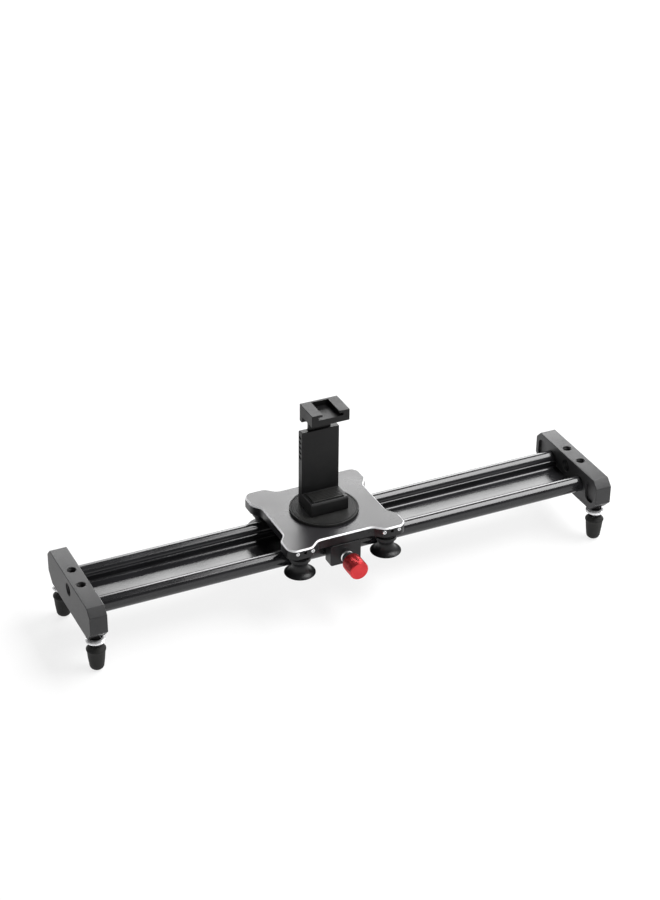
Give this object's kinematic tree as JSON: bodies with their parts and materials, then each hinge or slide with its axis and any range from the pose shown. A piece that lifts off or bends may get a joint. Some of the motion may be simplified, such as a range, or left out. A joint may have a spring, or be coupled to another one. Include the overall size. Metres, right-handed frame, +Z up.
{
  "type": "camera slider",
  "caption": "Tabletop camera slider: a tubular rail between end blocks on screw feet, with a roller carriage, side brake knob and a phone clamp with a cold shoe.",
  "frame": {"origin": "middle of the slider's footprint, where the feet stand, half way between the brake knob's face and the end blocks' rear edges", "axes": "+X along the rail to the right end, +Y from the brake knob's side to the rear, +Z up"},
  "size_m": [0.4014, 0.101, 0.1409],
  "materials": {
    "rail_extrusion": "gloss black anodised, lengthwise extrusion lines",
    "end_block_left": "dark grey anodised, fine blasted grain",
    "end_block_right": "dark grey anodised, fine blasted grain",
    "rail_dowel_left_front": "bright nickel",
    "rail_dowel_right_front": "bright nickel",
    "rail_dowel_left_rear": "bright nickel",
    "rail_dowel_right_rear": "bright nickel",
    "leg_collar_left_front": "satin black",
    "leg_collar_right_front": "satin black",
    "leg_collar_left_rear": "satin black",
    "leg_collar_right_rear": "satin black",
    "leg_lock_ring_left_front": "bright nickel, knurled",
    "leg_stud_left_front": "black oxide",
    "leg_boot_left_front": "matte black",
    "leg_lock_ring_right_front": "bright nickel, knurled",
    "leg_stud_right_front": "black oxide",
    "leg_boot_right_front": "matte black",
    "leg_lock_ring_left_rear": "bright nickel, knurled",
    "leg_stud_left_rear": "black oxide",
    "leg_boot_left_rear": "matte black",
    "leg_lock_ring_right_rear": "bright nickel, knurled",
    "leg_stud_right_rear": "black oxide",
    "leg_boot_right_rear": "matte black",
    "carriage_plate": "satin black anodised, bright cut chamfer round the top",
    "brake_bracket": "gloss black anodised, lengthwise extrusion lines",
    "bracket_screw_left": "black oxide",
    "bracket_screw_right": "black oxide",
    "camera_pad": "matte black",
    "camera_screw": "bright nickel",
    "roller_bolt_left_front": "bright nickel",
    "roller_bolt_right_front": "bright nickel",
    "roller_bolt_left_rear": "bright nickel",
    "roller_bolt_right_rear": "bright nickel",
    "roller_spacer_left_front": "bright nickel",
    "roller_spacer_right_front": "bright nickel",
    "roller_spacer_left_rear": "bright nickel",
    "roller_spacer_right_rear": "bright nickel",
    "roller_left_front": "satin black acetal",
    "roller_bearing_left_front": "bright nickel",
    "roller_right_front": "satin black acetal",
    "roller_bearing_right_front": "bright nickel",
    "roller_left_rear": "satin black acetal",
    "roller_bearing_left_rear": "bright nickel",
    "roller_right_rear": "satin black acetal",
    "roller_bearing_right_rear": "bright nickel",
    "brake_pad": "natural nylon",
    "brake_screw": "bright nickel",
    "brake_collar": "bright nickel",
    "brake_knob": "red anodised, ribbed",
    "clamp_base": "satin black",
    "lower_jaw_pad": "matte black",
    "upper_jaw": "satin black",
    "upper_jaw_pad": "matte black",
    "clamp_screw_tip": "natural nylon",
    "clamp_screw": "bright nickel",
    "clamp_knob": "satin black"
  },
  "bodies": {
    "slider_base": {"rail_extrusion": "rail_extrusion", "end_block_left": "end_block_left", "end_block_right": "end_block_right", "rail_dowel_left_front": "rail_dowel_left_front", "rail_dowel_right_front": "rail_dowel_right_front", "rail_dowel_left_rear": "rail_dowel_left_rear", "rail_dowel_right_rear": "rail_dowel_right_rear", "leg_collar_left_front": "leg_collar_left_front", "leg_collar_right_front": "leg_collar_right_front", "leg_collar_left_rear": "leg_collar_left_rear", "leg_collar_right_rear": "leg_collar_right_rear"},
    "lock_ring_left_front": {"leg_lock_ring_left_front": "leg_lock_ring_left_front"},
    "stud_left_front": {"leg_stud_left_front": "leg_stud_left_front"},
    "foot_left_front": {"leg_boot_left_front": "leg_boot_left_front"},
    "lock_ring_right_front": {"leg_lock_ring_right_front": "leg_lock_ring_right_front"},
    "stud_right_front": {"leg_stud_right_front": "leg_stud_right_front"},
    "foot_right_front": {"leg_boot_right_front": "leg_boot_right_front"},
    "lock_ring_left_rear": {"leg_lock_ring_left_rear": "leg_lock_ring_left_rear"},
    "stud_left_rear": {"leg_stud_left_rear": "leg_stud_left_rear"},
    "foot_left_rear": {"leg_boot_left_rear": "leg_boot_left_rear"},
    "lock_ring_right_rear": {"leg_lock_ring_right_rear": "leg_lock_ring_right_rear"},
    "stud_right_rear": {"leg_stud_right_rear": "leg_stud_right_rear"},
    "foot_right_rear": {"leg_boot_right_rear": "leg_boot_right_rear"},
    "carriage": {"carriage_plate": "carriage_plate", "brake_bracket": "brake_bracket", "bracket_screw_left": "bracket_screw_left", "bracket_screw_right": "bracket_screw_right", "camera_pad": "camera_pad", "camera_screw": "camera_screw", "roller_bolt_left_front": "roller_bolt_left_front", "roller_bolt_right_front": "roller_bolt_right_front", "roller_bolt_left_rear": "roller_bolt_left_rear", "roller_bolt_right_rear": "roller_bolt_right_rear", "roller_spacer_left_front": "roller_spacer_left_front", "roller_spacer_right_front": "roller_spacer_right_front", "roller_spacer_left_rear": "roller_spacer_left_rear", "roller_spacer_right_rear": "roller_spacer_right_rear"},
    "roller_left_front": {"roller_left_front": "roller_left_front", "roller_bearing_left_front": "roller_bearing_left_front"},
    "roller_right_front": {"roller_right_front": "roller_right_front", "roller_bearing_right_front": "roller_bearing_right_front"},
    "roller_left_rear": {"roller_left_rear": "roller_left_rear", "roller_bearing_left_rear": "roller_bearing_left_rear"},
    "roller_right_rear": {"roller_right_rear": "roller_right_rear", "roller_bearing_right_rear": "roller_bearing_right_rear"},
    "brake_pad": {"brake_pad": "brake_pad"},
    "brake_knob": {"brake_screw": "brake_screw", "brake_collar": "brake_collar", "brake_knob": "brake_knob"},
    "clamp": {"clamp_base": "clamp_base", "lower_jaw_pad": "lower_jaw_pad"},
    "upper_jaw": {"upper_jaw": "upper_jaw", "upper_jaw_pad": "upper_jaw_pad"},
    "clamp_tip": {"clamp_screw_tip": "clamp_screw_tip"},
    "clamp_knob": {"clamp_screw": "clamp_screw", "clamp_knob": "clamp_knob"}
  },
  "joints": [
    {"name": "lock_ring_turn_left_front", "type": "hinge", "parent": "slider_base", "child": "lock_ring_left_front", "pos_m": [-0.1937, -0.02652, 0.02395], "axis": [0, 0, -1], "range_deg": [0, 90]},
    {"name": "leg_height_left_front", "type": "slide", "parent": "slider_base", "child": "stud_left_front", "axis": [0, 0, -1], "range_m": [0, 0.008]},
    {"name": "leg_turn_left_front", "type": "hinge", "parent": "stud_left_front", "child": "foot_left_front", "pos_m": [-0.1937, -0.02652, 0.01], "axis": [0, 0, -1], "range_deg": [0, 2268]},
    {"name": "lock_ring_turn_right_front", "type": "hinge", "parent": "slider_base", "child": "lock_ring_right_front", "pos_m": [0.1937, -0.02652, 0.02395], "axis": [0, 0, -1], "range_deg": [0, 90]},
    {"name": "leg_height_right_front", "type": "slide", "parent": "slider_base", "child": "stud_right_front", "axis": [0, 0, -1], "range_m": [0, 0.008]},
    {"name": "leg_turn_right_front", "type": "hinge", "parent": "stud_right_front", "child": "foot_right_front", "pos_m": [0.1937, -0.02652, 0.01], "axis": [0, 0, -1], "range_deg": [0, 2268]},
    {"name": "lock_ring_turn_left_rear", "type": "hinge", "parent": "slider_base", "child": "lock_ring_left_rear", "pos_m": [-0.1937, 0.04147, 0.02395], "axis": [0, 0, -1], "range_deg": [0, 90]},
    {"name": "leg_height_left_rear", "type": "slide", "parent": "slider_base", "child": "stud_left_rear", "axis": [0, 0, -1], "range_m": [0, 0.008]},
    {"name": "leg_turn_left_rear", "type": "hinge", "parent": "stud_left_rear", "child": "foot_left_rear", "pos_m": [-0.1937, 0.04147, 0.01], "axis": [0, 0, -1], "range_deg": [0, 2268]},
    {"name": "lock_ring_turn_right_rear", "type": "hinge", "parent": "slider_base", "child": "lock_ring_right_rear", "pos_m": [0.1937, 0.04147, 0.02395], "axis": [0, 0, -1], "range_deg": [0, 90]},
    {"name": "leg_height_right_rear", "type": "slide", "parent": "slider_base", "child": "stud_right_rear", "axis": [0, 0, -1], "range_m": [0, 0.008]},
    {"name": "leg_turn_right_rear", "type": "hinge", "parent": "stud_right_rear", "child": "foot_right_rear", "pos_m": [0.1937, 0.04147, 0.01], "axis": [0, 0, -1], "range_deg": [0, 2268]},
    {"name": "carriage_slide", "type": "slide", "parent": "slider_base", "child": "carriage", "axis": [1, 0, 0], "range_m": [-0.1317, 0.1525]},
    {"name": "roller_spin_left_front", "type": "hinge", "parent": "carriage", "child": "roller_left_front", "pos_m": [-0.0434, -0.02425, 0.0402], "axis": [0, 0, 1], "continuous": true},
    {"name": "roller_spin_right_front", "type": "hinge", "parent": "carriage", "child": "roller_right_front", "pos_m": [0.0226, -0.02425, 0.0402], "axis": [0, 0, 1], "continuous": true},
    {"name": "roller_spin_left_rear", "type": "hinge", "parent": "carriage", "child": "roller_left_rear", "pos_m": [-0.0434, 0.0392, 0.0402], "axis": [0, 0, 1], "continuous": true},
    {"name": "roller_spin_right_rear", "type": "hinge", "parent": "carriage", "child": "roller_right_rear", "pos_m": [0.0226, 0.0392, 0.0402], "axis": [0, 0, 1], "continuous": true},
    {"name": "brake_feed", "type": "slide", "parent": "carriage", "child": "brake_pad", "axis": [0, 1, 0], "range_m": [-0.0016, 0]},
    {"name": "brake_turn", "type": "hinge", "parent": "brake_pad", "child": "brake_knob", "pos_m": [-0.0104, -0.03453, 0.0411], "axis": [0, 1, 0], "range_deg": [-720, 0]},
    {"name": "clamp_swivel", "type": "hinge", "parent": "carriage", "child": "clamp", "pos_m": [-0.0104, 0.00747, 0.0607], "axis": [0, 0, 1], "continuous": true},
    {"name": "upper_jaw_slide", "type": "slide", "parent": "clamp", "child": "upper_jaw", "axis": [0, 0, 1], "range_m": [-0.008, 0.022]},
    {"name": "clamp_screw_feed", "type": "slide", "parent": "clamp", "child": "clamp_tip", "axis": [0, -1, 0], "range_m": [-0.001, 0]},
    {"name": "clamp_screw_turn", "type": "hinge", "parent": "clamp_tip", "child": "clamp_knob", "pos_m": [-0.0104, 0.02297, 0.10273], "axis": [0, -1, 0], "range_deg": [-515, 0]}
  ],
  "couplings": [
    {"joint": "leg_turn_left_front", "follows": "leg_height_left_front", "rad_per_m": 4947.4},
    {"joint": "leg_turn_right_front", "follows": "leg_height_right_front", "rad_per_m": 4947.4},
    {"joint": "leg_turn_left_rear", "follows": "leg_height_left_rear", "rad_per_m": 4947.4},
    {"joint": "leg_turn_right_rear", "follows": "leg_height_right_rear", "rad_per_m": 4947.4},
    {"joint": "roller_spin_left_front", "follows": "carriage_slide", "rad_per_m": 175.44},
    {"joint": "roller_spin_right_front", "follows": "carriage_slide", "rad_per_m": 175.44},
    {"joint": "roller_spin_left_rear", "follows": "carriage_slide", "rad_per_m": -175.44},
    {"joint": "roller_spin_right_rear", "follows": "carriage_slide", "rad_per_m": -175.44},
    {"joint": "brake_turn", "follows": "brake_feed", "rad_per_m": 7854},
    {"joint": "clamp_screw_turn", "follows": "clamp_screw_feed", "rad_per_m": 8976}
  ]
}
